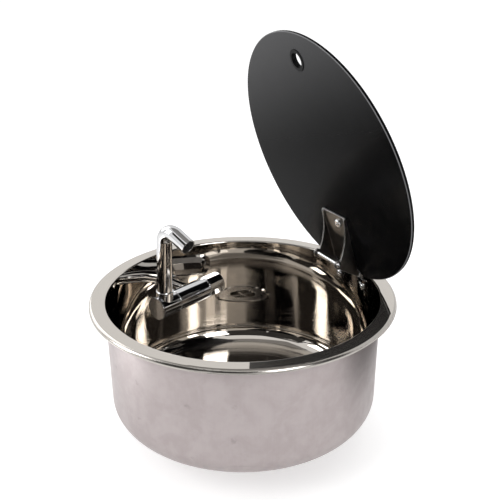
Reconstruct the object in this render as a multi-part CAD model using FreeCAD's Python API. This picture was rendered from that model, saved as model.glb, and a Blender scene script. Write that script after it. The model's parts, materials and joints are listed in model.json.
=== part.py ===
import FreeCAD, Part
import math
import os

Vec = FreeCAD.Vector
X_AXIS = Vec(1, 0, 0)
Y_AXIS = Vec(0, 1, 0)
Z_AXIS = Vec(0, 0, 1)
ORIGIN = Vec(0, 0, 0)

# Millimetres. z = 0 is the worktop, the sink's axis is +Z, and the lid is hinged at +Y.

# Bowl
rim_radius = 210.0
bowl_depth = 175.0
sheet = 1.0
flange_rise = 6.0
flange_width = 22.5
wall_taper = 2.3
mouth_bend = 2.5
corner_bend = 30.0
lip_bend = 5.0
lip_clearance = 0.8
floor_fall = 2.0
seat_clearance = 0.2

# Rim seal
seal_inset = 4.5
seal_setback = 5.5

# Waste fitting
shank_radius = 24.0
shank_length = 18.0
outlet_radius = 20.0
outlet_wall = 3.0
outlet_length = 27.0
shank_clearance = 1.0
waste_flange_lip = 9.0
waste_flange_thickness = 2.0
waste_seal_thickness = 1.0
waste_washer_thickness = 3.0
waste_washer_width = 10.0
waste_nut_height = 10.0
waste_nut_width = 9.0
waste_nut_ribs = 6
waste_cross_width = 3.0
seat_recess = 3.0
seat_slope = 4.0

# Tap on the bowl wall, with its own axes: x along the body, y out to the wall, z up
tap_azimuth = 197.8
tap_drop = 52.0
tap_standoff = 58.3
tap_radius = 16.5
body_start = -12.7
body_end = 47.3
stem_offset = 26.0
stem_radius = 9.0
stem_bore = 5.0
stem_hole_clearance = 0.5
stem_land = 1.5
spigot_radius = 6.0
spigot_length = 22.0
rosette_radius = 15.0
rosette_height = 7.0
rosette_clearance = 0.6
gasket_radius = 13.5
gasket_thickness = 3.0
tap_nut_across_flats = 27.0
tap_nut_height = 8.0
joint_gap = 0.3
running_clearance = 0.05

# Folding hub and swivelling spout
hub_length = 31.7
hub_cap_radius = 17.5
hub_cap_thickness = 3.0
journal_radius = 9.0
journal_bore = 4.5
ring_section = 1.0
clip_thickness = 1.2
clip_width = 2.5
spout_offset = -31.6
spout_lean = 3.2
spout_radius = 11.3
spout_wall = 1.3
spout_rise = 103.4
spout_bend = 18.0
spout_turn = 110.0
spout_reach = 27.0
socket_radius = 9.5
socket_floor = 3.2
boss_radius = 12.8
boss_height = 21.0
collar_height = 4.0
aerator_depth = 8.0
aerator_recess = 0.6

# Knob and valve
knob_sides = 10
knob_radius = 16.8
knob_length = 31.3
knob_chamfer = 3.0
knob_ring_radius = 17.0
knob_ring_width = 2.0
cartridge_radius = 12.0
cartridge_length = 29.0
spindle_radius = 4.0
knob_cap_radius = 7.0
knob_cap_thickness = 3.0

# Lid
lid_gap = 3.15
lid_thickness = 5.0
lid_bevel = 1.0
lid_open = 72.9
finger_hole_inset = 37.5
finger_hole_radius = 12.5
grommet_bore = 10.5
grommet_flange = 15.0
grommet_lip = 1.2

# Lid hinge: distances along the lid from the pivot and below the middle of the glass
pivot_gap = 7.3
pivot_below_glass = 0.5
hinge_half_width = 27.0
hinge_plate = 2.0
pivot_eye = 4.3
pin_radius = 2.5
pin_head_radius = 4.0
pin_head_height = 2.0
notch_clearance = 4.0
notch_depth = 8.0
edge_relief = 3.0
arm_tip = 97.0
arm_nose = (7.0, 3.5)
arm_knee = (62.5, 8.9)
arm_knee_bend = 95.0
arm_foot = (36.5, 27.7)
arm_floor_start = 14.0
arm_bend = 1.5
bar_at = (34.0, 32.0)
bar_eye = 6.0
bar_radius = 3.0
bar_screw_radius = 1.5
bar_head_radius = 4.0
bar_head_height = 2.4
lid_screw_at = (84.0, 9.0)
lid_screw_radius = 2.5
lid_screw_head = 6.4
lid_screw_head_height = 3.6
pad_start = 58.0
pad_thickness = 0.8
glass_bush_radius = 4.0
lid_cap_radius = 9.0
lid_cap_height = 4.0

# Hinge base on the bowl wall
base_wing = 13.0
base_plate = 2.0
base_top_below_pivot = 9.0
base_height = 22.0
washer_gap = 2.0
lug_thickness = 4.0
base_screw_inset = 7.0
base_screw_radius = 2.0
base_screw_head = 4.2
base_screw_head_height = 2.2
base_nut_across_flats = 7.0
base_nut_height = 3.2
screw_hole_clearance = 0.3

# Derived levels and radii
mouth_radius = rim_radius - flange_width
foot_radius = mouth_radius - wall_taper
lid_radius = mouth_radius - lid_gap
rim_top = flange_rise
flange_under = rim_top - sheet
floor_z = rim_top - bowl_depth + sheet
drain_floor_z = floor_z - floor_fall
seat_z = drain_floor_z - seat_recess
drain_hole_radius = shank_radius + shank_clearance
waste_flange_radius = shank_radius + waste_flange_lip
seat_radius = waste_flange_radius + shank_clearance
tap_z = rim_top - tap_drop
hub_end = body_start - joint_gap
hub_start = hub_end - hub_length
knob_start = body_end + knob_ring_width + joint_gap
knob_end = knob_start + knob_length
notch_half_width = hinge_half_width + notch_clearance
lug_outer = hinge_half_width - hinge_plate - washer_gap
lug_inner = lug_outer - lug_thickness
base_half_width = lug_outer + base_wing
base_screw_spread = base_half_width - base_screw_inset
pivot_y = mouth_radius - pivot_gap
glass_middle = rim_top - lid_thickness / 2
pivot_z = glass_middle - pivot_below_glass
glass_under = lid_thickness / 2
arm_seat = glass_under + pad_thickness
arm_floor = arm_seat + hinge_plate
base_screw_z = pivot_z - base_top_below_pivot - base_height / 2


def wall_radius(z):
    """Inner radius of the bowl's tapered wall at height z."""
    return mouth_radius - (mouth_radius - foot_radius) * (rim_top - z) / (rim_top - floor_z)


tap_axis_radius = wall_radius(tap_z) - tap_standoff


def rounded_face(points, place):
    """Face from corner points (u, v, radius), with every corner rounded by its own radius."""
    corners = [(Vec(p[0], p[1], 0), p[2] if len(p) > 2 else 0.0) for p in points]
    arcs = []
    for i, (corner, radius) in enumerate(corners):
        if radius == 0:
            arcs.append((corner, None, corner))
            continue
        before = (corners[i - 1][0] - corner).normalize()
        after = (corners[(i + 1) % len(corners)][0] - corner).normalize()
        half = before.getAngle(after) / 2
        towards = (before + after).normalize()
        reach = radius / math.tan(half)
        middle = corner + towards * (radius / math.sin(half) - radius)
        arcs.append((corner + before * reach, middle, corner + after * reach))
    edges = []
    for i, (start, middle, end) in enumerate(arcs):
        if middle is not None:
            edges.append(Part.Arc(place(start), place(middle), place(end)).toShape())
        following = arcs[(i + 1) % len(arcs)][0]
        if (following - end).Length > 1e-6:
            edges.append(Part.makeLine(place(end), place(following)))
    return Part.Face(Part.Wire(edges))


def turned(points):
    """Solid of revolution about Z from corner points (radius, height, rounding)."""
    face = rounded_face(points, lambda p: Vec(p.x, 0, p.y))
    return face.revolve(ORIGIN, Z_AXIS, 360)


def turned_x(points):
    """Solid of revolution about X from corner points (position along X, radius, rounding)."""
    face = rounded_face(points, lambda p: Vec(p.x, 0, p.y))
    return face.revolve(ORIGIN, X_AXIS, 360)


def turned_y(points):
    """Solid of revolution about Y from corner points (radius, position along Y, rounding)."""
    face = rounded_face(points, lambda p: Vec(p.x, p.y, 0))
    return face.revolve(ORIGIN, Y_AXIS, 360)


def rod_x(radius, start, end, y=0.0, z=0.0):
    """Cylinder along X."""
    return Part.makeCylinder(radius, end - start, Vec(start, y, z), X_AXIS)


def rod_y(radius, start, end, x=0.0, z=0.0):
    """Cylinder along Y."""
    return Part.makeCylinder(radius, end - start, Vec(x, start, z), Y_AXIS)


def rod_z(radius, start, end, x=0.0, y=0.0):
    """Cylinder along Z."""
    return Part.makeCylinder(radius, end - start, Vec(x, y, start), Z_AXIS)


def hexagon_y(across_flats, start, end):
    """Hexagonal bar along Y."""
    corner = across_flats / math.sqrt(3)
    ring = [Vec(corner * math.cos(math.radians(60 * i)), start, corner * math.sin(math.radians(60 * i)))
            for i in range(6)]
    return Part.Face(Part.makePolygon(ring + ring[:1])).extrude(Vec(0, end - start, 0))


def dry_radius(z):
    """Outer radius of the bowl's tapered wall at height z."""
    return wall_radius(z + sheet) + sheet


def outside_wall(low, high):
    """Thick ring of everything outside the bowl's inner wall between two heights."""
    beyond = rim_radius + 20
    inner_low = wall_radius(low) - seat_clearance
    inner_high = wall_radius(high) - seat_clearance
    return turned([(inner_low, low), (beyond, low), (beyond, high), (inner_high, high)])


def inside_wall(low, high):
    """Plug of everything inside the bowl's outer wall between two heights."""
    outer_low = dry_radius(low) + seat_clearance
    outer_high = dry_radius(high) + seat_clearance
    return turned([(0, low), (outer_low, low), (outer_high, high), (0, high)])


def chord_depth(radius, half_width):
    """Distance from the axis of a circle to a chord of it."""
    return math.sqrt(radius ** 2 - half_width ** 2)


def at_base_screws(shape):
    """Two copies of a shape drawn along Y, square to the wall at the hinge base's screws."""
    angle = math.degrees(math.asin(base_screw_spread / wall_radius(base_screw_z)))
    copies = []
    for side in (-1, 1):
        placed = shape.copy()
        placed.translate(Vec(0, 0, base_screw_z))
        placed.rotate(ORIGIN, Z_AXIS, side * angle)
        copies.append(placed)
    return Part.makeCompound(copies)


def base_screw_holes():
    """Holes for the hinge base's screws, through the base and the wall."""
    return at_base_screws(rod_y(base_screw_radius + screw_hole_clearance, foot_radius - 20, rim_radius))


def on_tap(shape):
    """Move a shape from the tap's own axes to its place on the bowl wall."""
    placed = shape.copy()
    placed.translate(Vec(0, tap_axis_radius, tap_z))
    placed.rotate(ORIGIN, Z_AXIS, tap_azimuth - 90)
    return placed


def from_tap(shape):
    """Move a shape from the sink's axes into the tap's own axes."""
    placed = shape.copy()
    placed.rotate(ORIGIN, Z_AXIS, 90 - tap_azimuth)
    placed.translate(Vec(0, -tap_axis_radius, -tap_z))
    return placed


def on_hub(shape):
    """Lean a shape with the folding hub, then put it on the bowl wall."""
    leaning = shape.copy()
    leaning.rotate(ORIGIN, X_AXIS, spout_lean)
    return on_tap(leaning)


def opened(shape):
    """Swing a shape drawn on the closed lid up to the open lid."""
    swung = shape.copy()
    swung.rotate(Vec(0, pivot_y, pivot_z), X_AXIS, -lid_open)
    return swung


def on_lid(point):
    """Point of the closed lid from (along the lid from the pivot, below the middle of the glass)."""
    return Vec(0, pivot_y - point.x, glass_middle - point.y)


def lid_plate(points, low, high):
    """Plate across the hinge from low to high along X, from corner points on the lid."""
    face = rounded_face(points, lambda p: on_lid(p) + Vec(low, 0, 0))
    return face.extrude(Vec(high - low, 0, 0))


def at_lid_screw(shape):
    """Move a shape drawn about Z to the screw in the closed lid."""
    placed = shape.copy()
    placed.translate(Vec(lid_screw_at[1], pivot_y - lid_screw_at[0], 0))
    return placed


def lid_post(radius, off_start, off_end):
    """Cylinder on the lid's screw, from one distance below the middle of the glass to another."""
    return at_lid_screw(rod_z(radius, glass_middle - off_end, glass_middle - off_start))


def bowl_blank():
    """Drawn sheet with a flat flange, a rolled lip, a tapered wall and a recessed waste seat."""
    slope_end = seat_radius + seat_slope
    wet = [(drain_hole_radius, seat_z), (seat_radius, seat_z, 1.0), (slope_end, drain_floor_z, 1.0),
           (foot_radius, floor_z, corner_bend), (mouth_radius, rim_top, mouth_bend),
           (rim_radius, rim_top, lip_bend), (rim_radius, lip_clearance)]
    dry = [(rim_radius - sheet, lip_clearance), (rim_radius - sheet, flange_under, lip_bend - sheet),
           (mouth_radius + sheet, flange_under, mouth_bend - sheet),
           (foot_radius + sheet, floor_z - sheet, corner_bend + sheet),
           (slope_end + sheet, drain_floor_z - sheet), (seat_radius + sheet, seat_z - sheet),
           (drain_hole_radius, seat_z - sheet)]
    return turned(wet + dry)


def bowl():
    """Bowl with holes for the tap's stem and the hinge base's screws."""
    reach = rim_radius - tap_axis_radius
    hole = rod_y(stem_radius + stem_hole_clearance, tap_radius, reach, stem_offset)
    shape = bowl_blank().cut(on_tap(hole))
    return shape.cut(base_screw_holes())


def rim_seal():
    """Rubber ring between the flange and the worktop."""
    inner = mouth_radius + seal_inset
    outer = rim_radius - seal_setback
    return turned([(inner, 0), (outer, 0), (outer, flange_under), (inner, flange_under)])


def waste_flange():
    """Waste fitting: dished flange, cross, threaded shank and plain outlet with an open bore."""
    top = seat_z + waste_seal_thickness + waste_flange_thickness
    under = seat_z + waste_seal_thickness
    bore = outlet_radius - outlet_wall
    shoulder = under - shank_length
    shape = turned([(bore, shoulder - outlet_length), (outlet_radius, shoulder - outlet_length),
                    (outlet_radius, shoulder), (shank_radius, shoulder), (shank_radius, under),
                    (waste_flange_radius, under), (waste_flange_radius, top, 1.0), (bore, top, 1.0)])
    for angle in (0, 90):
        bar = Part.makeBox(2 * bore + 1, waste_cross_width, waste_cross_width,
                           Vec(-bore - 0.5, -waste_cross_width / 2, under - waste_cross_width))
        bar.rotate(ORIGIN, Z_AXIS, angle)
        shape = shape.fuse(bar)
    return shape.removeSplitter()


def waste_seal():
    """Rubber ring under the waste flange, in the bowl's recess."""
    return turned([(drain_hole_radius, seat_z), (waste_flange_radius, seat_z),
                   (waste_flange_radius, seat_z + waste_seal_thickness),
                   (drain_hole_radius, seat_z + waste_seal_thickness)])


def waste_washer():
    """Rubber washer under the bowl, round the waste shank."""
    top = seat_z - sheet
    outer = shank_radius + waste_washer_width
    return turned([(shank_radius, top - waste_washer_thickness), (outer, top - waste_washer_thickness),
                   (outer, top), (shank_radius, top)])


def waste_nut():
    """Ribbed plastic nut that pulls the waste fitting down."""
    top = seat_z - sheet - waste_washer_thickness
    outer = shank_radius + waste_nut_width
    shape = turned([(shank_radius, top - waste_nut_height), (outer - 2, top - waste_nut_height, 1.0),
                    (outer - 2, top - 3), (outer, top - 3), (outer, top), (shank_radius, top)])
    for i in range(waste_nut_ribs):
        rib = Part.makeBox(5, 5, waste_nut_height, Vec(outer - 4, -2.5, top - waste_nut_height))
        rib.rotate(ORIGIN, Z_AXIS, 360 / waste_nut_ribs * i)
        shape = shape.fuse(rib)
    return shape.removeSplitter()


def rosette_back():
    """Distance from the tap's axis to the rosette's back, just clear of the curved wall."""
    lowest_wall = wall_radius(tap_z - rosette_radius)
    return chord_depth(lowest_wall, stem_offset + rosette_radius) - rosette_clearance - tap_axis_radius


def tap_nut_start():
    """Distance from the tap's axis to the inner face of the nut outside the wall."""
    return tap_standoff + sheet + gasket_thickness


def wall_band(make):
    """Solid on one side of the bowl wall round the tap's stem, in the tap's axes."""
    margin = rosette_radius + 10
    return from_tap(make(tap_z - margin, tap_z + margin))


def on_stem(shape):
    """Move a shape drawn about Y to the tap's stem, then to its place on the bowl wall."""
    placed = shape.copy()
    placed.translate(Vec(stem_offset, 0, 0))
    return on_tap(placed)


def tap_stem():
    """Threaded water inlet from the tap's body through the wall to a plain push-on spigot."""
    start = cartridge_radius + stem_land
    thread_end = tap_nut_start() + tap_nut_height + 4
    shape = turned_y([(stem_bore, start), (stem_radius, start), (stem_radius, thread_end, 1.0),
                      (spigot_radius, thread_end), (spigot_radius, thread_end + spigot_length, 0.8),
                      (stem_bore - 1, thread_end + spigot_length), (stem_bore - 1, thread_end),
                      (stem_bore, thread_end - 1)])
    return on_stem(shape)


def tap_bores():
    """Room in the body for the valve and the water's way to the hub."""
    room = rod_x(cartridge_radius, body_end - cartridge_length, body_end + 1)
    return room.fuse(rod_x(journal_bore, body_start - 1, body_end))


def tap_rosette():
    """Domed cover ring on the inside of the wall."""
    back = rosette_back()
    front = back - rosette_height
    return on_stem(turned_y([(stem_radius, front), (stem_radius + 5, front, 2.0),
                             (rosette_radius, back - 2.0, 2.0), (rosette_radius, back), (stem_radius, back)]))


def tap_inner_gasket():
    """Rubber ring that fits the curved wall under the rosette."""
    back = rosette_back()
    beyond = tap_standoff + sheet
    ring = rod_y(gasket_radius, back, beyond, stem_offset).cut(rod_y(stem_radius, 0, beyond + 1, stem_offset))
    return on_tap(ring.cut(wall_band(outside_wall)))


def tap_outer_gasket():
    """Rubber ring that fits the curved wall on the outside."""
    end = tap_nut_start()
    ring = rod_y(gasket_radius, rosette_back(), end, stem_offset).cut(rod_y(stem_radius, 0, end + 1, stem_offset))
    return on_tap(ring.cut(wall_band(inside_wall)))


def tap_nut():
    """Hexagon nut that clamps the tap from outside the bowl."""
    start = tap_nut_start()
    nut = hexagon_y(tap_nut_across_flats, start, start + tap_nut_height)
    return on_stem(nut.cut(rod_y(stem_radius, start - 1, start + tap_nut_height + 1)))


def tap_body():
    """Body of the tap with room for the valve and a socket for the stem."""
    shape = turned_x([(body_start, 0), (body_start, tap_radius, 0.8), (body_end, tap_radius), (body_end, 0)])
    shape = shape.cut(rod_y(stem_radius, cartridge_radius + stem_land, tap_radius + 1, stem_offset))
    shape = shape.cut(rod_y(stem_bore, 0, tap_radius, stem_offset)).cut(tap_bores())
    return on_tap(shape.cut(rod_x(journal_radius - 2, body_start - 1, body_start + 3)))


def valve_cartridge():
    """Valve cartridge with a running hole for the spindle."""
    start = body_end - cartridge_length
    shape = turned_x([(start, 2.0), (start, cartridge_radius), (body_end, cartridge_radius), (body_end, 2.0)])
    return on_tap(shape.cut(rod_x(spindle_radius + running_clearance, start + 8, body_end + 1)))


def valve_spindle():
    """Spindle that the knob turns in the cartridge."""
    start = body_end - cartridge_length + 8 + joint_gap
    end = knob_end - 9
    shape = rod_x(spindle_radius, start, end)
    return on_tap(shape.cut(rod_x(spindle_radius / 2, end - 9, end + 1)))


def knob_ring():
    """Bright ring between the body and the knob."""
    end = body_end + knob_ring_width
    return on_tap(turned_x([(body_end, spindle_radius + 3), (body_end, knob_ring_radius, 0.6),
                            (end, knob_ring_radius, 0.6), (end, spindle_radius + 3)]))


def knob():
    """Faceted knob with a chamfered end, a spindle bore and a recess for its screw."""
    ring = [Vec(knob_start, knob_radius * math.cos(2 * math.pi * i / knob_sides),
                knob_radius * math.sin(2 * math.pi * i / knob_sides)) for i in range(knob_sides)]
    prism = Part.Face(Part.makePolygon(ring + ring[:1])).extrude(Vec(knob_length, 0, 0))
    envelope = turned_x([(knob_start, 0), (knob_start, knob_radius, 0.5),
                         (knob_end - knob_chamfer, knob_radius), (knob_end, knob_radius - knob_chamfer),
                         (knob_end, 0)])
    shape = prism.common(envelope)
    shape = shape.cut(rod_x(spindle_radius, knob_start - 1, knob_end))
    return on_tap(shape.cut(rod_x(knob_cap_radius, knob_end - 9, knob_end + 1)))


def knob_screw():
    """Screw that holds the knob on the spindle."""
    face = knob_end - 9
    shape = rod_x(spindle_radius / 2, face - 8, face).fuse(
        turned_x([(face, 0), (face, 4.5), (face + 4, 4.5, 1.0), (face + 4, 0)]))
    return on_tap(shape.cut(rod_x(1.5, face + 2, face + 5)).removeSplitter())


def knob_cap():
    """Plug over the knob's screw, standing slightly proud of the end."""
    start = knob_end + 0.5 - knob_cap_thickness
    return on_tap(turned_x([(start, 0), (start, knob_cap_radius),
                            (knob_end + 0.5, knob_cap_radius, 0.8), (knob_end + 0.5, 0)]))


def fold_journal():
    """Hollow journal from the body, on which the hub folds."""
    clip = hub_start + clip_thickness + 2.0
    groove = ring_section * 2.2
    shape = turned_x([(hub_start + 1.0, journal_bore), (hub_start + 1.0, journal_radius, 0.5),
                      (body_start, journal_radius), (body_start, journal_radius - 2),
                      (body_start + 3, journal_radius - 2), (body_start + 3, journal_bore)])
    for start in ring_starts():
        end = start + groove
        shape = shape.cut(turned_x([(start, journal_radius - groove), (start, journal_radius + 1),
                                    (end, journal_radius + 1), (end, journal_radius - groove)]))
    clip_groove = rod_x(journal_radius + 1, clip, clip + clip_thickness).cut(
        rod_x(journal_radius - 1, clip, clip + clip_thickness))
    port = rod_z(journal_bore - 1, 0, journal_radius + 1, spout_offset)
    return on_tap(shape.cut(clip_groove).cut(port))


def ring_starts():
    """Where the journal's two ring grooves begin, either side of its water port."""
    return (spout_offset + 6.0, spout_offset + 13.0)


def fold_rings():
    """Rubber rings that seal the hub on its journal."""
    middle = journal_radius - running_clearance - ring_section
    rings = [Part.makeTorus(middle, ring_section, Vec(start + ring_section * 1.1, 0, 0), X_AXIS)
             for start in ring_starts()]
    return on_tap(Part.makeCompound(rings))


def fold_clip():
    """Snap ring that keeps the hub on its journal."""
    start = hub_start + clip_thickness + 2.0
    outer = journal_radius - 1 + clip_width
    end = start + clip_thickness
    ring = rod_x(outer, start, end).cut(rod_x(journal_radius - 1, start, end))
    gap = Part.makeBox(clip_thickness + 2, 5, outer + 2, Vec(start - 1, -2.5, -outer - 2))
    return on_tap(ring.cut(gap))


def spout_hub():
    """Hub that folds on the journal, with a boss and a socket for the spout."""
    recess = journal_radius + clip_width
    shape = turned_x([(hub_start, 0), (hub_start, tap_radius), (hub_end, tap_radius, 0.8), (hub_end, 0)])
    shape = shape.fuse(rod_z(boss_radius, 0, boss_height, spout_offset)).removeSplitter()
    shape = shape.cut(rod_x(journal_radius + running_clearance, hub_start - 1, hub_end + 1))
    shape = shape.cut(rod_x(recess, hub_start - 1, hub_start + clip_thickness * 2 + 2.0 + joint_gap))
    shape = shape.cut(rod_z(socket_radius, journal_radius + socket_floor, boss_height + 1, spout_offset))
    return on_hub(shape.cut(rod_z(journal_bore - 1, 0, boss_height, spout_offset)))


def hub_cap():
    """Cap on the hub's outer end."""
    recess = journal_radius + clip_width
    outer = hub_start - hub_cap_thickness
    return on_hub(turned_x([(outer, 0), (outer, hub_cap_radius, 0.8), (hub_start, hub_cap_radius, 0.5),
                            (hub_start, recess), (hub_start + 0.8, recess), (hub_start + 0.8, 0)]))


def spout_collar():
    """Collar round the foot of the spout, on the hub's boss."""
    inner = spout_radius + running_clearance
    top = boss_height + collar_height
    shape = turned([(inner, boss_height), (boss_radius, boss_height), (boss_radius, top, 0.8), (inner, top)])
    shape.translate(Vec(spout_offset, 0, 0))
    return on_hub(shape)


def swept_spout(radius, start, overrun):
    """Solid of the spout's upright, bend and outlet at one radius."""
    upright = rod_z(radius, start, spout_rise)
    circle = Part.Face(Part.Wire(Part.makeCircle(radius, Vec(0, 0, spout_rise), Z_AXIS)))
    elbow = circle.revolve(Vec(0, -spout_bend, spout_rise), X_AXIS, spout_turn)
    outlet = rod_z(radius, spout_rise, spout_rise + spout_reach + overrun)
    outlet.rotate(Vec(0, -spout_bend, spout_rise), X_AXIS, spout_turn)
    return upright.fuse(elbow).fuse(outlet)


def spout_tube():
    """Bent spout with a reduced foot that swivels in the hub's socket."""
    foot = socket_radius - running_clearance
    low = journal_radius + socket_floor + joint_gap
    groove = ring_section * 2.2
    shoulder = boss_height + running_clearance
    shape = swept_spout(spout_radius, shoulder, 0).removeSplitter()
    shape = shape.fuse(rod_z(foot, low, shoulder + 1))
    shape = shape.cut(swept_spout(spout_radius - spout_wall, boss_height + 8, 1).removeSplitter())
    shape = shape.cut(rod_z(journal_bore, low - 1, boss_height + 9))
    ring = rod_z(foot + 1, swivel_ring_start(), swivel_ring_start() + groove).cut(
        rod_z(foot - groove, swivel_ring_start(), swivel_ring_start() + groove))
    shape = shape.cut(ring)
    shape.translate(Vec(spout_offset, 0, 0))
    return on_hub(shape)


def swivel_ring_start():
    """Height in the hub where the swivel's ring groove begins."""
    return journal_radius + socket_floor + 2.5


def swivel_ring():
    """Rubber ring that seals the spout in the hub's socket."""
    middle = socket_radius - 2 * running_clearance - ring_section
    height = swivel_ring_start() + ring_section * 1.1
    return on_hub(Part.makeTorus(middle, ring_section, Vec(spout_offset, 0, height), Z_AXIS))


def spout_aerator():
    """Perforated outlet insert in the end of the spout."""
    radius = spout_radius - spout_wall
    end = spout_rise + spout_reach - aerator_recess
    shape = rod_z(radius, end - aerator_depth, end).cut(rod_z(radius - 2, end - aerator_depth - 1, end - 2))
    for i in range(6):
        angle = math.radians(60 * i)
        shape = shape.cut(rod_z(1.2, end - 3, end + 1, 5 * math.cos(angle), 5 * math.sin(angle)))
    shape.rotate(Vec(0, -spout_bend, spout_rise), X_AXIS, spout_turn)
    shape.translate(Vec(spout_offset, 0, 0))
    return on_hub(shape)


def lid_glass():
    """Round glass with bevelled edges, a finger hole, a screw hole and a notch for the hinge."""
    low = glass_middle - lid_thickness / 2
    shape = turned([(0, low), (lid_radius - lid_bevel, low), (lid_radius, low + lid_bevel),
                    (lid_radius, rim_top - lid_bevel), (lid_radius - lid_bevel, rim_top), (0, rim_top)])
    far = 2 * lid_radius
    shape = shape.cut(Part.makeBox(far, far, far, Vec(-lid_radius, pivot_y - edge_relief, low - lid_radius)))
    corner = Vec(-notch_half_width, pivot_y - notch_depth, low - lid_radius)
    shape = shape.cut(Part.makeBox(2 * notch_half_width, far, far, corner))
    shape = shape.cut(rod_z(finger_hole_radius, low - 1, rim_top + 1, y=finger_hole_inset - lid_radius))
    return opened(shape.cut(lid_post(glass_bush_radius, -lid_thickness, lid_thickness)))


def lid_grommet():
    """Two-lipped ring in the finger hole."""
    low = glass_middle - lid_thickness / 2
    shape = turned([(grommet_bore, low - grommet_lip, 0.5), (grommet_flange, low - grommet_lip, 0.6),
                    (grommet_flange, low), (finger_hole_radius, low), (finger_hole_radius, rim_top),
                    (grommet_flange, rim_top), (grommet_flange, rim_top + grommet_lip, 0.6),
                    (grommet_bore, rim_top + grommet_lip, 0.5)])
    shape.translate(Vec(0, finger_hole_inset - lid_radius, 0))
    return opened(shape)


def arm_cheek(low, high):
    """Side plate of the hinge arm from the pivot's eye to the glass and down to the cross bar's eye."""
    span = math.hypot(*bar_at)
    back = (-bar_at[1] / span, bar_at[0] / span)
    lower_bar = (bar_at[0] + bar_eye * back[0], bar_at[1] + bar_eye * back[1])
    lower_pivot = (pivot_eye * back[0], pivot_below_glass + pivot_eye * back[1])
    plate = lid_plate([(arm_tip, arm_seat), (arm_tip, *arm_nose), (*arm_knee, arm_knee_bend), arm_foot,
                       bar_at, lower_bar, lower_pivot, (0, pivot_below_glass),
                       (notch_depth - 1, pivot_below_glass), (notch_depth - 1, arm_seat)], low, high)
    pivot_end = rod_x(pivot_eye, low, high, pivot_y, pivot_z)
    bar_end = rod_x(bar_eye, low, high, pivot_y - bar_at[0], glass_middle - bar_at[1])
    return plate.fuse(pivot_end).fuse(bar_end)


def arm_corner(side):
    """Inner bend between the hinge arm's floor and the side plate on one side."""
    wall = side * (hinge_half_width - hinge_plate)
    middle = wall - side * arm_bend
    tip = arm_tip - arm_nose[1]
    block = lid_plate([(tip, arm_floor), (tip, arm_floor + arm_bend), (arm_floor_start, arm_floor + arm_bend),
                       (arm_floor_start, arm_floor)], min(wall, middle), max(wall, middle))
    return block.cut(rod_y(arm_bend, pivot_y - tip - 1, pivot_y - arm_floor_start + 1, middle,
                           glass_middle - arm_floor - arm_bend))


def hinge_arm():
    """Pressed channel on the lid: a floor against the glass between two curved side plates."""
    inner = hinge_half_width - hinge_plate
    shape = lid_plate([(arm_tip, arm_seat), (arm_tip, arm_floor), (arm_floor_start, arm_floor),
                       (arm_floor_start, arm_seat)], -inner, inner)
    for side in (-1, 1):
        low = min(side * inner, side * hinge_half_width)
        shape = shape.fuse(arm_cheek(low, low + hinge_plate)).fuse(arm_corner(side))
    wide = hinge_half_width + 1
    shape = shape.cut(rod_x(pin_radius + running_clearance, -wide, wide, pivot_y, pivot_z))
    bar_hole = rod_x(bar_screw_radius + screw_hole_clearance, -wide, wide,
                     pivot_y - bar_at[0], glass_middle - bar_at[1])
    screw_hole = lid_post(lid_screw_radius + screw_hole_clearance, 0, arm_floor + 1)
    return opened(shape.cut(bar_hole).cut(screw_hole).removeSplitter())


def cross_bar():
    """Bar that braces the two side plates of the hinge arm."""
    inner = hinge_half_width - hinge_plate
    y = pivot_y - bar_at[0]
    z = glass_middle - bar_at[1]
    shape = rod_x(bar_radius, -inner, inner, y, z)
    for start in (-inner, inner - 10):
        shape = shape.cut(rod_x(bar_screw_radius, start, start + 10, y, z))
    return opened(shape)


def cross_bar_screws():
    """Dome screws into both ends of the cross bar."""
    y = pivot_y - bar_at[0]
    z = glass_middle - bar_at[1]
    head = turned_x([(hinge_half_width, 0), (hinge_half_width, bar_head_radius),
                     (hinge_half_width + bar_head_height, bar_head_radius, 1.8),
                     (hinge_half_width + bar_head_height, 0)])
    shank = rod_x(bar_screw_radius, hinge_half_width - hinge_plate - 9, hinge_half_width)
    screw = head.fuse(shank).removeSplitter()
    screw = screw.cut(rod_x(1.2, hinge_half_width + 1, hinge_half_width + 4))
    other = screw.mirror(ORIGIN, X_AXIS)
    pair = Part.makeCompound([screw, other])
    pair.translate(Vec(0, y, z))
    return opened(pair)


def lid_screw():
    """Screw through the hinge arm and the glass."""
    seat = glass_middle - arm_floor
    face = seat - lid_screw_head_height
    head = turned([(0, seat), (lid_screw_head, seat), (lid_screw_head, face, 2.6), (0, face)])
    head = head.cut(rod_z(lid_screw_radius, face - 1, face + 2))
    shank = lid_post(lid_screw_radius, lid_screw_end(), arm_floor)
    return opened(at_lid_screw(head).fuse(shank).removeSplitter())


def lid_screw_end():
    """Distance of the screw's end from the middle of the glass, inside the domed nut."""
    return 1.5 - lid_thickness / 2 - lid_cap_height


def lid_pad():
    """Plastic pad between the hinge arm and the glass."""
    inner = hinge_half_width
    shape = lid_plate([(arm_tip, glass_under), (arm_tip, arm_seat), (pad_start, arm_seat),
                       (pad_start, glass_under)], -inner, inner)
    return opened(shape.cut(lid_post(glass_bush_radius, 0, lid_thickness)))


def lid_bush():
    """Plastic sleeve round the screw in the glass and the pad."""
    sleeve = lid_post(glass_bush_radius, -glass_under, arm_seat)
    return opened(sleeve.cut(lid_post(lid_screw_radius, -lid_thickness, lid_thickness)))


def lid_cap():
    """Domed nut on the upper face of the glass."""
    shape = turned([(0, rim_top), (lid_cap_radius, rim_top), (lid_cap_radius, rim_top + lid_cap_height, 3.0),
                    (0, rim_top + lid_cap_height)])
    return opened(at_lid_screw(shape).cut(lid_post(lid_screw_radius, lid_screw_end(), 0)))


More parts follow.
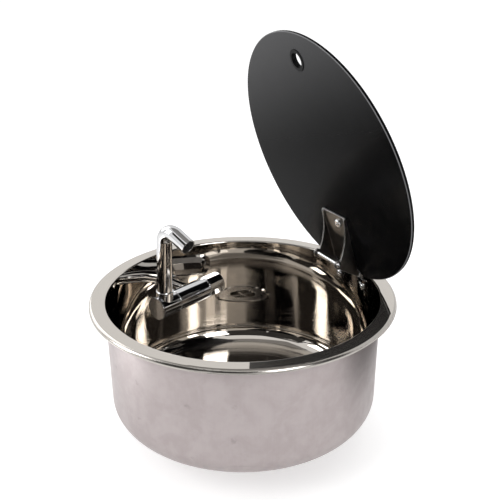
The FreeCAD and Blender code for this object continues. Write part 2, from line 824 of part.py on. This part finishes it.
def base_lug(low, high):
    """Ear of the hinge base, from the pivot's eye down to the plate."""
    top = pivot_z - base_top_below_pivot
    back = wall_radius(top) + 1
    points = [(pivot_y - pivot_eye, pivot_z), (pivot_y + pivot_eye, pivot_z), (pivot_y + pivot_eye, top),
              (back, top), (back, top - base_height * 0.7), (back - base_plate * 2, top - base_height * 0.7)]
    face = rounded_face(points, lambda p: Vec(low, p.x, p.y))
    eye = rod_x(pivot_eye, low, high, pivot_y, pivot_z)
    return face.extrude(Vec(high - low, 0, 0)).fuse(eye)


def hinge_base():
    """Curved plate on the bowl wall with two ears for the hinge pin."""
    top = pivot_z - base_top_below_pivot
    low = top - base_height
    band = turned([(wall_radius(low) - base_plate, low), (wall_radius(low), low),
                   (wall_radius(top), top), (wall_radius(top) - base_plate, top)])
    window = Part.makeBox(2 * base_half_width, rim_radius, base_height + 2, Vec(-base_half_width, 0, low - 1))
    shape = band.common(window)
    for side in (-1, 1):
        start = min(side * lug_inner, side * lug_outer)
        shape = shape.fuse(base_lug(start, start + lug_thickness))
    shape = shape.cut(outside_wall(low - 5, rim_top))
    shape = shape.cut(rod_x(pin_radius, -lug_outer - 1, lug_outer + 1, pivot_y, pivot_z))
    return shape.cut(base_screw_holes()).removeSplitter()


def hinge_pin():
    """Riveted pin through the base's ears and the arm's side plates."""
    end = hinge_half_width + joint_gap
    shape = rod_x(pin_radius, -end, end)
    head = turned_x([(end, 0), (end, pin_head_radius), (end + pin_head_height, pin_head_radius, 1.5),
                     (end + pin_head_height, 0)])
    shape = shape.fuse(head).fuse(head.mirror(ORIGIN, X_AXIS)).removeSplitter()
    shape.translate(Vec(0, pivot_y, pivot_z))
    return shape


def friction_washers():
    """Washers between the base's ears and the arm's side plates, which hold the lid by friction."""
    end = hinge_half_width - hinge_plate - running_clearance
    washer = rod_x(pivot_eye, lug_outer, end).cut(rod_x(pin_radius, lug_outer, end))
    pair = Part.makeCompound([washer, washer.mirror(ORIGIN, X_AXIS)])
    pair.translate(Vec(0, pivot_y, pivot_z))
    return pair


def base_screws():
    """Dome screws that hold the hinge base to the bowl wall."""
    seat = chord_depth(wall_radius(base_screw_z - base_screw_head) - base_plate, base_screw_head)
    front = seat - base_screw_head_height
    head = turned_y([(0, front), (base_screw_head, front, 1.6), (base_screw_head, seat), (0, seat)])
    screw = head.fuse(rod_y(base_screw_radius, seat, base_nut_start() + base_nut_height + 2)).removeSplitter()
    return at_base_screws(screw.cut(rod_y(1.2, front - 1, front + 1.2)))


def base_nut_start():
    """Distance from the sink's axis to the inner faces of the hinge base's nuts."""
    return dry_radius(base_screw_z + base_nut_across_flats)


def base_nuts():
    """Nuts on the hinge base's screws, outside the bowl wall."""
    start = base_nut_start()
    nut = hexagon_y(base_nut_across_flats, start, start + base_nut_height)
    return at_base_screws(nut.cut(rod_y(base_screw_radius, start - 1, start + base_nut_height + 1)))


parts = [bowl, rim_seal, waste_flange, waste_seal, waste_washer, waste_nut,
         tap_stem, tap_rosette, tap_inner_gasket, tap_outer_gasket, tap_nut, tap_body,
         valve_cartridge, valve_spindle, knob_ring, knob, knob_screw, knob_cap,
         fold_journal, fold_rings, fold_clip, spout_hub, hub_cap, spout_collar,
         spout_tube, swivel_ring, spout_aerator,
         lid_glass, lid_grommet, hinge_arm, cross_bar, cross_bar_screws, lid_screw, lid_pad, lid_bush, lid_cap,
         hinge_base, hinge_pin, friction_washers, base_screws, base_nuts]

os.makedirs("parts", exist_ok=True)
for make in parts:
    make().exportStep("parts/" + make.__name__ + ".step")
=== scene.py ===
import json
import math

import bpy
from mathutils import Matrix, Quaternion, Vector


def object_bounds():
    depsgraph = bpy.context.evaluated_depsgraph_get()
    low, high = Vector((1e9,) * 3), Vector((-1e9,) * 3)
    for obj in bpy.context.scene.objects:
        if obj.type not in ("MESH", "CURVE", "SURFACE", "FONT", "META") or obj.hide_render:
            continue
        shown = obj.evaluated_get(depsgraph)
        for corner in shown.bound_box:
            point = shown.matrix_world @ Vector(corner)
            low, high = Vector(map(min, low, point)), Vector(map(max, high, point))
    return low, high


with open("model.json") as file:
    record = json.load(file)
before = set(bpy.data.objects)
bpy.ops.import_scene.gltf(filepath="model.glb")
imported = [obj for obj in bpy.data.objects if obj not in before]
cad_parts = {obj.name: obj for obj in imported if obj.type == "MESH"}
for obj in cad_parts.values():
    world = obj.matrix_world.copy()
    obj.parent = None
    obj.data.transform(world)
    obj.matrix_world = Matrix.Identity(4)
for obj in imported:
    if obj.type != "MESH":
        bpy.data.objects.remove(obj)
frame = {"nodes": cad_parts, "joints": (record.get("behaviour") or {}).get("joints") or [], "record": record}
cad_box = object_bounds()

# The view: the camera looks at the sink from one side of the lid's hinge.
# Metres and degrees, and millimetres for the lens and the sensor.
VIEW_TURN = 61.2
CAMERA_DISTANCE = 1.0414
CAMERA_HEIGHT = 0.5056
AIM_RIGHT = 0.0102
AIM_HEIGHT = 0.0687
CAMERA_ROLL = -0.26
LENS = 60.24
SENSOR_WIDTH = 36.0

# The floor's size and its gap under the sink, how far it is lifted to white where it is seen,
# and the light from the surroundings
FLOOR_SIZE = 12.0
FLOOR_GAP = 0.0005
FLOOR_LIFT = 0.45
WORLD_LIGHT = 0.8

# How far the standing cards are from the sink, and the height of the cards that lie on the floor
CARD_DISTANCE = 2.2
LYING_CARD_UP = cad_box[0][2] + 0.002

# Where the bowl's finish changes, from none of it to all of it: by how far a face looks outward or
# up, by the distance from the bowl's axis, and by the height above the worktop
FACING_OUT = (-0.1, 0.1)
FACING_UP = (0.80, 0.98)
LIP_REACH = (0.2048, 0.2076)
FLANGE_HEIGHT = (0.002, 0.004)
DULL_HEIGHT = (0.0006, 0.0)
# Painted shadow of the lip on the outer wall: the heights that it fades in between
LIP_SHADOW_HEIGHT = (-0.030, -0.006)
BOTTOM_HEIGHT = (-0.12, -0.15)

# The lid's zones, by how far a face looks to the coated side
COATED_FACING = (0.85, 0.95)
BEVEL_FROM = (0.50, 0.60)
BEVEL_TO = (0.86, 0.80)

# Painted sheen on the lid's coated side, lighter toward its free edge for a blurred reflection: the heights
# that it grows between, and its slope along the hinge
PAINTED_SHEEN_HEIGHT = (0.19, 0.424)
PAINTED_SHEEN_SLOPE = 0.354


def from_view(right, away, up):
    """Place given as seen by the camera: to its right, away from it, and above the worktop."""
    turn = math.radians(VIEW_TURN)
    return Vector((right * math.cos(turn) - away * math.sin(turn),
                   right * math.sin(turn) + away * math.cos(turn), up))


def feed(tree, value, socket):
    """Link another node's output to an input, or set the input's own value."""
    if isinstance(value, bpy.types.NodeSocket):
        tree.links.new(value, socket)
    else:
        socket.default_value = value


def add(tree, kind, inputs=None, **options):
    """Add a shader node, set its options, and set or link its inputs."""
    made = tree.nodes.new("ShaderNode" + kind)
    for name, value in options.items():
        setattr(made, name, value)
    for key, value in (inputs or {}).items():
        feed(tree, value, made.inputs[key])
    return made


def math_node(tree, operation, first, second=0.0):
    """Result of one arithmetic step."""
    return add(tree, "Math", {0: first, 1: second}, operation=operation).outputs[0]


def times(tree, first, second):
    """Product of two values."""
    return math_node(tree, "MULTIPLY", first, second)


def plus(tree, first, second):
    """Sum of two values."""
    return math_node(tree, "ADD", first, second)


def minus(tree, first, second):
    """Difference of two values."""
    return math_node(tree, "SUBTRACT", first, second)


def facing_along(tree, first, second):
    """How far two directions agree."""
    return add(tree, "VectorMath", {0: first, 1: second}, operation="DOT_PRODUCT").outputs["Value"]


def stretched(tree, vector, factors):
    """Vector with each axis scaled by its own factor."""
    return add(tree, "VectorMath", {0: vector, 1: factors}, operation="MULTIPLY").outputs[0]


def noise(tree, vector, scale, detail, **more):
    """Soft noise from 0 to 1."""
    inputs = {"Vector": vector, "Scale": scale, "Detail": detail, **more}
    return add(tree, "TexNoise", inputs).outputs["Fac"]


def fade(tree, value, low, high, to_low=0.0, to_high=1.0):
    """Smooth step of a value between two limits."""
    inputs = {"Value": value, "From Min": low, "From Max": high, "To Min": to_low, "To Max": to_high}
    return add(tree, "MapRange", inputs, interpolation_type="SMOOTHSTEP").outputs["Result"]


def vary(tree, mask, first, second):
    """Smooth change from one value to another with a mask."""
    return fade(tree, mask, 0.0, 1.0, first, second)


def blend_values(tree, amount, first, second):
    """Mix of two values."""
    return add(tree, "Mix", {"Factor": amount, 2: first, 3: second}, data_type="FLOAT").outputs[0]


def blend_colors(tree, amount, first, second):
    """Mix of two colours."""
    made = add(tree, "Mix", {"Factor": amount}, data_type="RGBA")
    for key, value in (("A", first), ("B", second)):
        socket = [s for s in made.inputs if s.name == key and s.type == "RGBA"][0]
        feed(tree, value if isinstance(value, bpy.types.NodeSocket) else (*value, 1.0), socket)
    return [s for s in made.outputs if s.type == "RGBA"][0]


def new_group(name, inputs, outputs):
    """Empty shader node group with its inputs and outputs."""
    group = bpy.data.node_groups.new(name, "ShaderNodeTree")
    for label, kind, default in inputs:
        socket = group.interface.new_socket(label, in_out="INPUT", socket_type="NodeSocket" + kind)
        if default is not None:
            socket.default_value = default
    for label, kind in outputs:
        group.interface.new_socket(label, in_out="OUTPUT", socket_type="NodeSocket" + kind)
    start = group.nodes.new("NodeGroupInput")
    end = group.nodes.new("NodeGroupOutput")
    return group, start.outputs, end.inputs


def new_pattern(name, scale):
    """Empty group for a pattern: a place and a scale in, a mask out."""
    return new_group(name, [("Vector", "Vector", None), ("Scale", "Float", scale)],
                     [("Mask", "Float")])


def make_blotches():
    """Cloudy stains: broad clouds broken up by finer ones."""
    group, given, result = new_pattern("blotches", 20.0)
    fine_scale = times(group, given["Scale"], 4.3)
    broad = noise(group, given["Vector"], given["Scale"], 5.0, Roughness=0.62, Distortion=0.6)
    fine = noise(group, given["Vector"], fine_scale, 6.0)
    both = plus(group, times(group, broad, 0.7), times(group, fine, 0.3))
    group.links.new(fade(group, both, 0.36, 0.64), result["Mask"])
    return group


def make_scratches():
    """Fine hair scratches in two directions."""
    group, given, result = new_pattern("scratches", 60.0)
    layers = []
    for turn in (0.5, 2.1):
        turned = add(group, "VectorRotate", {"Vector": given["Vector"], "Angle": turn,
                                             "Axis": (0.4, 0.3, 0.86)}).outputs[0]
        hairs = noise(group, stretched(group, turned, (1.0, 14.0, 14.0)), given["Scale"], 2.0)
        layers.append(fade(group, hairs, 0.66, 0.74))
    group.links.new(math_node(group, "MAXIMUM", *layers), result["Mask"])
    return group


def make_water_spots():
    """Dried drops: small rings scattered unevenly."""
    group, given, result = new_pattern("water_spots", 120.0)
    cells = add(group, "TexVoronoi", {"Vector": given["Vector"], "Scale": given["Scale"],
                                      "Randomness": 1.0})
    off_ring = math_node(group, "ABSOLUTE", minus(group, cells.outputs["Distance"], 0.24))
    ring = minus(group, 1.0, fade(group, off_ring, 0.0, 0.07))
    patches = fade(group, noise(group, given["Vector"], 14.0, 2.0), 0.52, 0.66)
    group.links.new(times(group, ring, patches), result["Mask"])
    return group


def make_soft_edges():
    """Normals that round sharp edges by a small radius, and a mask of those edges."""
    group, given, result = new_group("soft_edges", [("Radius", "Float", 0.0005)],
                                     [("Normal", "Vector"), ("Edge", "Float")])
    rounded = add(group, "Bevel", {"Radius": given["Radius"]}, samples=6).outputs["Normal"]
    flat = add(group, "NewGeometry").outputs["Normal"]
    group.links.new(rounded, result["Normal"])
    group.links.new(fade(group, facing_along(group, rounded, flat), 0.995, 0.9), result["Edge"])
    return group


def make_specks():
    """Small ragged smudges, few and far between."""
    group, given, result = new_pattern("specks", 90.0)
    ragged = add(group, "TexNoise", {"Vector": given["Vector"], "Scale": 160.0, "Detail": 3.0})
    moved = add(group, "VectorMath", {0: ragged.outputs["Color"], 1: (0.012, 0.012, 0.012),
                                      2: given["Vector"]}, operation="MULTIPLY_ADD").outputs[0]
    cells = add(group, "TexVoronoi", {"Vector": moved, "Scale": given["Scale"], "Randomness": 1.0})
    chosen = add(group, "SeparateColor", {0: cells.outputs["Color"]}).outputs[0]
    smudge = fade(group, cells.outputs["Distance"], 0.30, 0.05)
    group.links.new(times(group, smudge, fade(group, chosen, 0.90, 0.92)), result["Mask"])
    return group


BLOTCHES = make_blotches()
SPECKS = make_specks()
SCRATCHES = make_scratches()
WATER_SPOTS = make_water_spots()
SOFT_EDGES = make_soft_edges()


def use(tree, group, **inputs):
    """Place a shader node group and return its outputs."""
    made = tree.nodes.new("ShaderNodeGroup")
    made.node_tree = group
    for name, value in inputs.items():
        feed(tree, value, made.inputs[name])
    return made.outputs


def pattern(tree, group, place, scale):
    """Mask of a pattern at its scale."""
    return use(tree, group, Vector=place, Scale=scale)["Mask"]


def new_finish(name, **fixed):
    """Material with a Principled BSDF whose constant values are set on its own sockets."""
    material = bpy.data.materials.new(name)
    material.use_nodes = True
    tree = material.node_tree
    shader = tree.nodes["Principled BSDF"]
    for label, value in fixed.items():
        shader.inputs[label.replace("_", " ")].default_value = value
    return material, tree, shader.inputs


def bump(tree, height, strength, distance, normal=None):
    """Normal from a height."""
    inputs = {"Height": height, "Strength": strength, "Distance": distance}
    if normal is not None:
        inputs["Normal"] = normal
    return add(tree, "Bump", inputs).outputs["Normal"]


def bowl_steel():
    """Drawn steel: polished in the bowl and on the flange, satin on the lip, dull outside, with painted
    shade on the lip and under it.
    """
    material, tree, shader = new_finish("bowl_steel")
    coords = add(tree, "TexCoord").outputs
    place = coords["Object"]
    where = add(tree, "SeparateXYZ", {0: place}).outputs
    level = add(tree, "CombineXYZ", {0: where[0], 1: where[1]}).outputs[0]
    outward = add(tree, "VectorMath", {0: level}, operation="NORMALIZE").outputs[0]
    reach = add(tree, "VectorMath", {0: level}, operation="LENGTH").outputs["Value"]
    up = add(tree, "SeparateXYZ", {0: coords["Normal"]}).outputs[2]
    out = facing_along(tree, outward, coords["Normal"])

    # Zones: the dull outside, the lip, the flange and the bottom
    outer_side = fade(tree, minus(tree, out, up), *FACING_OUT)
    dull = times(tree, outer_side, fade(tree, where[2], *DULL_HEIGHT))
    lip = fade(tree, reach, *LIP_REACH)
    flat = fade(tree, up, *FACING_UP)
    flange = times(tree, flat, fade(tree, where[2], *FLANGE_HEIGHT))
    bottom = times(tree, flat, fade(tree, where[2], *BOTTOM_HEIGHT))

    # Marks of drawing, polishing and use, and painted shade on the lip and under it
    stains = pattern(tree, BLOTCHES, place, 22.0)
    streaks = noise(tree, stretched(tree, place, (1.0, 1.0, 0.06)), 420.0, 3.0)
    scratches = pattern(tree, SCRATCHES, place, 45.0)
    spots = pattern(tree, WATER_SPOTS, place, 150.0)
    specks = pattern(tree, SPECKS, place, 55.0)
    rings = add(tree, "TexNoise", {"W": reach, "Scale": 900.0, "Detail": 1.0},
                noise_dimensions="1D").outputs["Fac"]

    raw = blend_colors(tree, stains, (0.350, 0.307, 0.305), (0.390, 0.347, 0.345))
    raw = blend_colors(tree, times(tree, streaks, 0.25), raw, (0.44, 0.395, 0.39))
    # Painted shadow: the outer wall is darker just under the lip, where the lip shades it
    lip_shadow = times(tree, fade(tree, where[2], *LIP_SHADOW_HEIGHT), 0.5)
    raw = blend_colors(tree, lip_shadow, raw, (0.29, 0.257, 0.256))
    raw = blend_colors(tree, times(tree, specks, 0.30), raw, (0.16, 0.14, 0.14))
    polished = blend_colors(tree, times(tree, spots, 0.2), (0.565, 0.530, 0.487), (0.49, 0.46, 0.42))
    # Painted shade: the lip's steel is darker than the polished steel, for the shade along the lip
    polished = blend_colors(tree, lip, polished, (0.42, 0.396, 0.367))
    tree.links.new(blend_colors(tree, dull, polished, raw), shader["Base Color"])

    mirror = plus(tree, times(tree, scratches, 0.03), times(tree, spots, 0.03))
    mirror = plus(tree, mirror, vary(tree, bottom, 0.03, 0.08))
    mirror = plus(tree, mirror, times(tree, lip, 0.17))
    rough = vary(tree, stains, 0.44, 0.40)
    tree.links.new(blend_values(tree, dull, mirror, rough), shader["Roughness"])
    tree.links.new(vary(tree, flange, 1.0, 0.955), shader["Metallic"])

    grained = bump(tree, times(tree, streaks, dull), 0.12, 0.0004)
    tree.links.new(bump(tree, times(tree, rings, bottom), 1.0, 0.00009, grained), shader["Normal"])
    return material


def plated_chrome(name, clean, spotted):
    """Plated chrome with faint dried drops and hair scratches."""
    material, tree, shader = new_finish(name, Metallic=1.0, Specular_Tint=(0.7, 0.7, 0.7, 1.0))
    place = add(tree, "TexCoord").outputs["Object"]
    spots = pattern(tree, WATER_SPOTS, place, 260.0)
    scratches = pattern(tree, SCRATCHES, place, 90.0)
    edges = use(tree, SOFT_EDGES, Radius=0.0003)
    color = blend_colors(tree, times(tree, spots, 0.3), clean, spotted)
    tree.links.new(color, shader["Base Color"])
    dimmed = plus(tree, times(tree, spots, 0.08), times(tree, scratches, 0.05))
    tree.links.new(plus(tree, dimmed, 0.035), shader["Roughness"])
    tree.links.new(edges["Normal"], shader["Normal"])
    return material


def pressed_steel():
    """Thin plated pressing, with painted shade making it dark in its channel and painted highlights along
    its cut edges.
    """
    material, tree, shader = new_finish("pressed_steel", Metallic=1.0)
    place = add(tree, "TexCoord").outputs["Object"]
    tarnish = pattern(tree, BLOTCHES, place, 80.0)
    marks = pattern(tree, SCRATCHES, place, 120.0)
    edges = use(tree, SOFT_EDGES, Radius=0.0007)
    # Painted shade: the face is dark all over; painted highlights: the cut edges are bright
    face = blend_colors(tree, tarnish, (0.12, 0.113, 0.106), (0.17, 0.160, 0.150))
    color = blend_colors(tree, edges["Edge"], face, (0.80, 0.80, 0.79))
    tree.links.new(color, shader["Base Color"])
    tree.links.new(plus(tree, times(tree, marks, 0.06), 0.28), shader["Roughness"])
    tree.links.new(edges["Normal"], shader["Normal"])
    return material


def black_glass():
    """Tempered glass, glossy above and coated satin black below, with ground bevels and a painted sheen on
    the coated side.
    """
    material, tree, shader = new_finish("black_glass", IOR=1.5, Specular_IOR_Level=0.0185)
    coords = add(tree, "TexCoord").outputs
    place = coords["Object"]
    where = add(tree, "SeparateXYZ", {0: place}).outputs
    hinge = [joint for joint in frame["joints"] if joint["name"] == "lid_hinge"][0]
    opened = math.radians(hinge["range_deg"][1])
    coated_way = (0.0, -math.sin(opened), -math.cos(opened))
    under = facing_along(tree, coords["Normal"], coated_way)
    coated = fade(tree, under, *COATED_FACING)
    slant = math_node(tree, "ABSOLUTE", under)
    bevel = times(tree, fade(tree, slant, *BEVEL_FROM), fade(tree, slant, *BEVEL_TO))
    cloud = pattern(tree, BLOTCHES, place, 9.0)
    smears = pattern(tree, SCRATCHES, place, 25.0)
    grain = noise(tree, place, 1800.0, 2.0)

    # Painted sheen: the coated side gets lighter toward its free edge, for a blurred reflection of the
    # surroundings
    height = minus(tree, where[2], times(tree, where[0], PAINTED_SHEEN_SLOPE))
    painted_sheen = times(tree, fade(tree, height, *PAINTED_SHEEN_HEIGHT), coated)
    black = blend_colors(tree, cloud, (0.002, 0.002, 0.0022), (0.0036, 0.0036, 0.0039))
    face = blend_colors(tree, painted_sheen, black, (0.110, 0.110, 0.113))
    tree.links.new(blend_colors(tree, bevel, face, (0.16, 0.16, 0.165)), shader["Base Color"])

    satin = vary(tree, cloud, 0.20, 0.24)
    gloss = plus(tree, times(tree, smears, 0.05), 0.04)
    tree.links.new(blend_values(tree, coated, gloss, satin), shader["Roughness"])
    tree.links.new(bump(tree, times(tree, grain, coated), 0.04, 0.0001), shader["Normal"])
    return material


def moulded(name, dark, light, smooth, rough, scale, gloss=0.5):
    """Moulded rubber or plastic with a fine grain and slightly lighter worn edges."""
    material, tree, shader = new_finish(name, Specular_IOR_Level=gloss)
    place = add(tree, "TexCoord").outputs["Object"]
    cloud = pattern(tree, BLOTCHES, place, scale)
    edges = use(tree, SOFT_EDGES, Radius=0.0005)
    grain = noise(tree, place, 2600.0, 3.0)
    body = blend_colors(tree, cloud, dark, light)
    worn = tuple(min(1.0, channel * 1.7 + 0.01) for channel in light)
    color = blend_colors(tree, times(tree, edges["Edge"], 0.5), body, worn)
    tree.links.new(color, shader["Base Color"])
    tree.links.new(vary(tree, cloud, smooth, rough), shader["Roughness"])
    tree.links.new(bump(tree, grain, 0.15, 0.0002, edges["Normal"]), shader["Normal"])
    return material


def turned_metal(name, dark, light, smooth, rough):
    """Machined metal with fine turning marks, tarnished in patches."""
    material, tree, shader = new_finish(name, Metallic=1.0)
    place = add(tree, "TexCoord").outputs["Object"]
    tarnish = pattern(tree, BLOTCHES, place, 70.0)
    marks = pattern(tree, SCRATCHES, place, 120.0)
    edges = use(tree, SOFT_EDGES, Radius=0.0004)
    tree.links.new(blend_colors(tree, tarnish, dark, light), shader["Base Color"])
    surface = plus(tree, vary(tree, tarnish, rough, smooth), times(tree, marks, 0.1))
    tree.links.new(surface, shader["Roughness"])
    tree.links.new(bump(tree, marks, 0.1, 0.0002, edges["Normal"]), shader["Normal"])
    return material


# Finishes of the record's material slots
FINISHES = {
    "steel": bowl_steel(),
    "chrome": plated_chrome("bright_chrome", (0.63, 0.63, 0.635), (0.54, 0.54, 0.54)),
    "black_glass": black_glass(),
    "rubber": moulded("seal_rubber", (0.018, 0.018, 0.019), (0.035, 0.034, 0.033),
                      0.65, 0.8, 60.0),
    "black_plastic": moulded("black_plastic", (0.014, 0.014, 0.015), (0.024, 0.024, 0.025),
                             0.38, 0.5, 40.0, gloss=0.15),
    "white_plastic": moulded("valve_plastic", (0.72, 0.71, 0.68), (0.8, 0.79, 0.77),
                             0.4, 0.5, 40.0),
    "brass": turned_metal("turned_brass", (0.52, 0.38, 0.18), (0.72, 0.56, 0.30), 0.2, 0.34),
    "spring_steel": turned_metal("spring_steel", (0.34, 0.34, 0.35), (0.5, 0.5, 0.51), 0.22, 0.34),
}

# Solids with a finish of their own; the hinge arm's and the hub cap's colours hold painted shade, the hinge
# arm's also painted highlights
NODE_FINISHES = {
    "hinge_arm": pressed_steel(),
    # Painted shade: the hub cap's chrome is darker than the other chrome, for the darker reflection on its
    # end
    "hub_cap": plated_chrome("painted_shade_chrome", (0.32, 0.32, 0.325), (0.27, 0.27, 0.27)),
    "lid_grommet": moulded("grommet_rubber", (0.003, 0.003, 0.0032), (0.006, 0.006, 0.0063),
                           0.3, 0.42, 40.0, gloss=0.06),
    "waste_flange": turned_metal("satin_steel", (0.40, 0.375, 0.345), (0.48, 0.45, 0.415),
                                 0.26, 0.36),
}


def dress_nodes():
    """Give every solid the finish of its material slot, or one of its own."""
    for entry in frame["record"]["subparts"]:
        finish = NODE_FINISHES.get(entry["node"], FINISHES[entry["material_slot"]])
        for slot in frame["nodes"][entry["node"]].material_slots:
            slot.material = finish


def seen_or_mirrored(tree):
    """1 for what the camera sees, directly, in a mirror or through glass, and 0 for plain lighting."""
    path = add(tree, "LightPath").outputs
    indirect = math_node(tree, "MAXIMUM", path["Is Glossy Ray"], path["Is Transmission Ray"])
    return math_node(tree, "MAXIMUM", path["Is Camera Ray"], indirect)


def studio_floor():
    """Pale floor under the sink, white where the camera sees it unshaded."""
    bpy.ops.mesh.primitive_plane_add(size=FLOOR_SIZE, location=(0, 0, cad_box[0][2] - FLOOR_GAP))
    floor = bpy.context.object
    floor.name = "studio_floor"
    material, tree, shader = new_finish("floor_paper", Roughness=0.9, Specular_IOR_Level=0.1,
                                        Emission_Strength=FLOOR_LIFT)
    cloud = pattern(tree, BLOTCHES, add(tree, "TexCoord").outputs["Object"], 3.0)
    color = blend_colors(tree, cloud, (0.80, 0.80, 0.80), (0.82, 0.82, 0.82))
    tree.links.new(color, shader["Base Color"])
    tree.links.new(seen_or_mirrored(tree), shader["Emission Color"])
    floor.data.materials.append(material)


def studio_world():
    """White surroundings for what is seen and mirrored, and softer light from them."""
    world = bpy.data.worlds.new("studio")
    bpy.context.scene.world = world
    world.use_nodes = True
    tree = world.node_tree
    background = tree.nodes["Background"].inputs
    background["Color"].default_value = (1.0, 1.0, 1.0, 1.0)
    tree.links.new(vary(tree, seen_or_mirrored(tree), WORLD_LIGHT, 1.0), background["Strength"])


def soft_box(name, place, width, height, power):
    """Rectangular studio lamp, turned to the sink and left out of mirrors."""
    lamp = bpy.data.lights.new(name, "AREA")
    lamp.shape = "RECTANGLE"
    lamp.size = width
    lamp.size_y = height
    lamp.energy = power
    made = bpy.data.objects.new(name, lamp)
    made.location = place
    made.rotation_euler = (-place).to_track_quat("-Z", "Y").to_euler()
    made.visible_glossy = False
    bpy.context.scene.collection.objects.link(made)


def only_mirrored(card, name, width, height, material):
    """Size and dress a studio card that only mirrors show, to give polished metal its contrast."""
    card.name = name
    card.scale = (width, height, 1.0)
    card.data.materials.append(material)
    card.visible_camera = False
    card.visible_diffuse = False
    card.visible_shadow = False


def standing_card(name, bearing, up, width, height, material):
    """Card on a stand, turned to the sink. Its bearing is 0 behind the sink and 90 to its right."""
    turn = math.radians(bearing)
    place = from_view(CARD_DISTANCE * math.sin(turn), CARD_DISTANCE * math.cos(turn), up)
    bpy.ops.mesh.primitive_plane_add(size=1.0, location=place)
    card = bpy.context.object
    card.rotation_euler = (-place).to_track_quat("Z", "Y").to_euler()
    only_mirrored(card, name, width, height, material)


def level_card(name, right, away, up, width, depth, material):
    """Level card, squared to the camera."""
    bpy.ops.mesh.primitive_plane_add(size=1.0, location=from_view(right, away, up))
    card = bpy.context.object
    card.rotation_euler = (0.0, 0.0, math.radians(VIEW_TURN))
    only_mirrored(card, name, width, depth, material)


def bright_paper(name, strength):
    """Lit paper."""
    material, tree, shader = new_finish(name, Roughness=0.9, Emission_Strength=strength)
    cloud = pattern(tree, BLOTCHES, add(tree, "TexCoord").outputs["Object"], 3.0)
    color = blend_colors(tree, cloud, (0.95, 0.95, 0.96), (1.0, 1.0, 1.0))
    tree.links.new(color, shader["Emission Color"])
    return material


def photo_camera():
    """Camera at the photograph's place, aim and lens."""
    camera = bpy.data.cameras.new("photo_camera")
    camera.lens = LENS
    camera.sensor_width = SENSOR_WIDTH
    made = bpy.data.objects.new("photo_camera", camera)
    made.location = from_view(0.0, -CAMERA_DISTANCE, CAMERA_HEIGHT)
    aim = from_view(AIM_RIGHT, 0.0, AIM_HEIGHT) - made.location
    roll = Quaternion((0, 0, 1), math.radians(CAMERA_ROLL))
    made.rotation_euler = (aim.to_track_quat("-Z", "Y") @ roll).to_euler()
    bpy.context.scene.collection.objects.link(made)
    bpy.context.scene.camera = made


CARD_CLOTH = moulded("card_cloth", (0.02, 0.018, 0.016), (0.03, 0.027, 0.024), 0.8, 0.9, 4.0)
BOUNCE_PAPER = bright_paper("bounce_paper", 2.0)
STRIP_PAPER = bright_paper("strip_paper", 8.0)
ROOF_CLOTH = moulded("roof_cloth", (0.30, 0.29, 0.28), (0.36, 0.35, 0.34), 0.8, 0.9, 4.0)

dress_nodes()
studio_floor()
studio_world()
soft_box("key_light", from_view(-1.6, -1.2, 1.5), 1.2, 1.2, 20.0)
soft_box("fill_light", from_view(1.8, -1.0, 0.9), 1.0, 1.4, 2.5)
soft_box("top_light", from_view(0.0, 0.3, 2.0), 1.4, 0.8, 9.0)
level_card("front_flag", 0.05, -0.84, LYING_CARD_UP, 1.1, 0.30, CARD_CLOTH)
level_card("right_flag", 0.62, 0.16, LYING_CARD_UP, 0.5, 0.6, CARD_CLOTH)
level_card("left_bounce", -0.56, -0.04, LYING_CARD_UP, 0.30, 0.22, BOUNCE_PAPER)
standing_card("right_card", 119.0, 1.35, 1.5, 2.4, CARD_CLOTH)
standing_card("front_strip", 151.0, 1.3, 0.9, 1.3, STRIP_PAPER)
standing_card("front_card", 184.0, 1.35, 1.62, 2.4, CARD_CLOTH)
standing_card("corner_card", 225.0, 1.35, 1.7, 2.4, CARD_CLOTH)
standing_card("left_strip", 269.0, 1.1, 0.68, 1.7, STRIP_PAPER)
standing_card("back_card", 312.0, 1.1, 1.5, 1.7, BOUNCE_PAPER)
level_card("roof_card", 0.0, 0.6, 2.5, 2.4, 2.0, ROOF_CLOTH)
photo_camera()
bpy.context.scene.view_settings.view_transform = "Standard"
